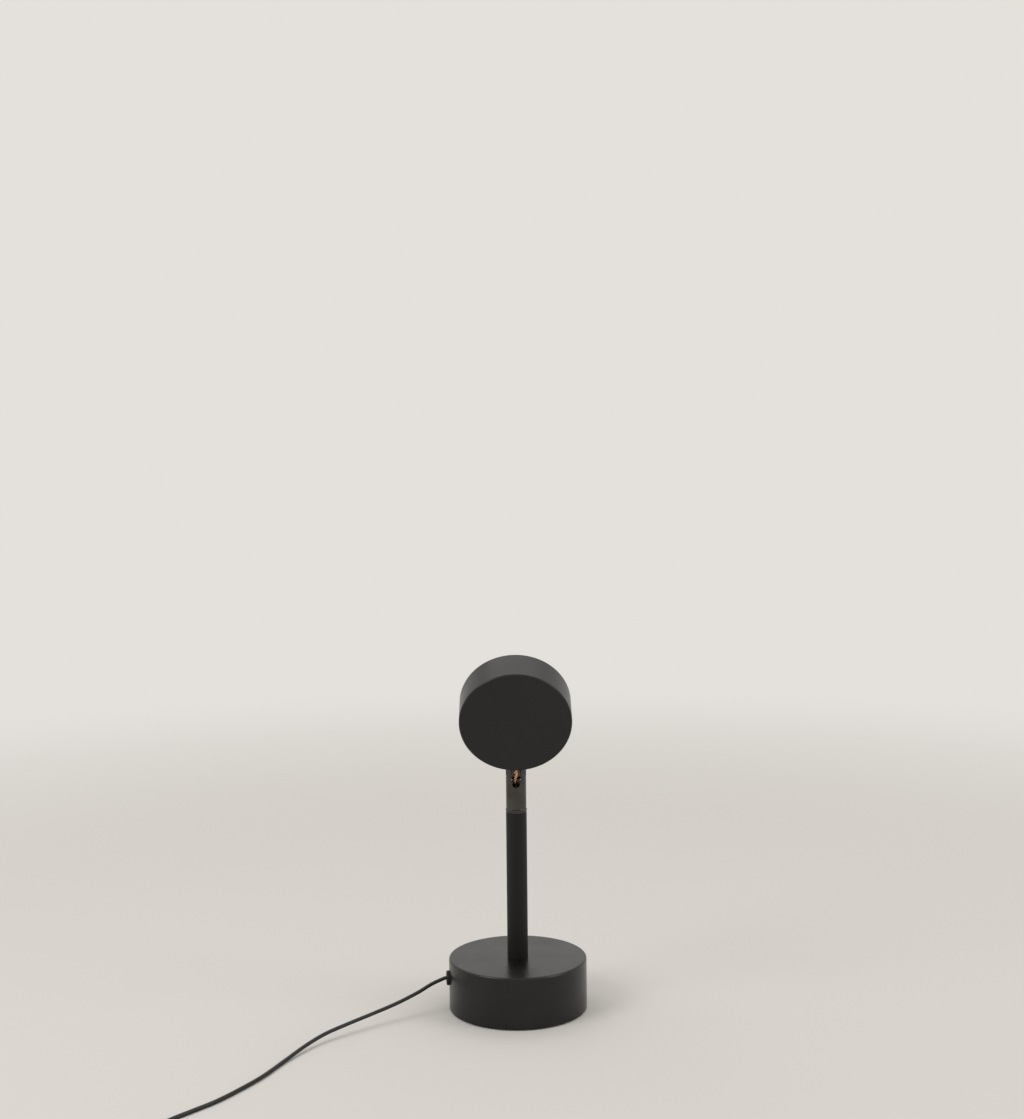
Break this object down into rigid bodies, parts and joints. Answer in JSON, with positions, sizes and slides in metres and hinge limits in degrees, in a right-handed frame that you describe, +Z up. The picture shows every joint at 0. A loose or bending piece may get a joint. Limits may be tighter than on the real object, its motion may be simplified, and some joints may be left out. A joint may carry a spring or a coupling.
{
  "type": "projection lamp",
  "caption": "Small table lamp with a round weighted base, slim stem, swivelling forked neck and tilting drum head with a convex lens, on a lead with an inline rocker switch.",
  "frame": {"origin": "centre of the underside of the base, where the foot ring meets the table", "axes": "+Z up along the stem, +Y the way the lamp shines, -X the side where the lead leaves the base"},
  "size_m": [0.263, 0.312, 0.2505],
  "materials": {
    "satin_black_metal": "satin black powder coat on steel",
    "matt_black_metal": "matt black paint on steel",
    "satin_black_aluminium": "satin black paint on spun aluminium",
    "dark_nickel": "black nickel plate, polished",
    "dark_aluminium": "dark anodised aluminium with a bright turned edge",
    "steel": "zinc plated steel",
    "plug_steel": "nickel plated steel",
    "cast_iron": "bare cast iron",
    "bare_aluminium": "bare aluminium",
    "board_aluminium": "white coated aluminium board",
    "led_resin": "yellow phosphor resin",
    "lens_glass": "clear optical glass, warm from the filter behind it",
    "filter_glass": "orange and red dichroic colour filter",
    "black_plastic": "black moulded plastic",
    "gloss_black_plastic": "black moulded plastic, semi gloss",
    "white_plastic": "white moulded plastic",
    "soft_black": "soft black elastomer",
    "foot_rubber": "black foam rubber",
    "cord_pvc": "black PVC jacket",
    "wire_clear": "clear PVC over copper strands, twin lead",
    "strap_fabric": "black hook and loop strap",
    "brass": "brass strip",
    "gold_contacts": "gold plated contacts"
  },
  "bodies": {
    "base": {"base_shell": "satin_black_metal", "base_cover": "black_plastic", "foot_ring": "foot_rubber", "ballast": "cast_iron", "cover_screw_1": "steel", "cover_screw_2": "steel", "cover_screw_3": "steel", "stem_tube": "matt_black_metal", "stem_washer": "steel", "stem_nut": "steel", "swivel_bush": "dark_nickel", "gland": "soft_black", "gland_nut": "black_plastic", "cord_clamp": "black_plastic", "clamp_screw_1": "steel", "clamp_screw_2": "steel", "stem_lead": "cord_pvc", "cord": "cord_pvc", "switch_lower": "gloss_black_plastic", "switch_upper": "gloss_black_plastic", "switch_contacts": "brass", "switch_screw_1": "steel", "switch_screw_2": "steel", "cord_link": "cord_pvc", "cord_coil": "cord_pvc", "coil_strap": "strap_fabric", "cord_tail": "cord_pvc", "plug_grip": "soft_black", "plug_shell": "plug_steel", "plug_insert": "white_plastic", "plug_contacts": "gold_contacts"},
    "neck": {"neck": "dark_nickel", "neck_clip": "steel", "pivot_screw": "steel", "pivot_nut": "steel", "friction_washer_1": "steel", "friction_washer_2": "steel", "joint_lead": "wire_clear"},
    "head": {"tongue": "dark_nickel", "tongue_washer": "steel", "tongue_nut": "steel", "head_can": "satin_black_aluminium", "head_grommet": "soft_black", "head_lead": "wire_clear", "bezel_ring": "dark_aluminium", "lens_gasket": "soft_black", "lens": "lens_glass", "optic_tube": "black_plastic", "filter_disc": "filter_glass", "filter_clip": "steel", "led_board": "board_aluminium", "led_package": "led_resin", "board_screw_1": "steel", "board_screw_2": "steel", "heat_sink": "bare_aluminium"},
    "rocker": {"switch_rocker": "black_plastic"}
  },
  "joints": [
    {"name": "neck_swivel", "type": "hinge", "parent": "base", "child": "neck", "pos_m": [0, 0, 0.13925], "axis": [0, 0, 1], "range_deg": [-175, 175]},
    {"name": "head_tilt", "type": "hinge", "parent": "neck", "child": "head", "pos_m": [0, 0, 0.16605], "axis": [1, 0, 0], "range_deg": [-112, 68], "deforming": ["joint_lead"]},
    {"name": "rocker_swing", "type": "hinge", "parent": "base", "child": "rocker", "pos_m": [-0.15, -0.23, 0.009], "axis": [0, 1, 0], "range_deg": [-14, 0]}
  ]
}
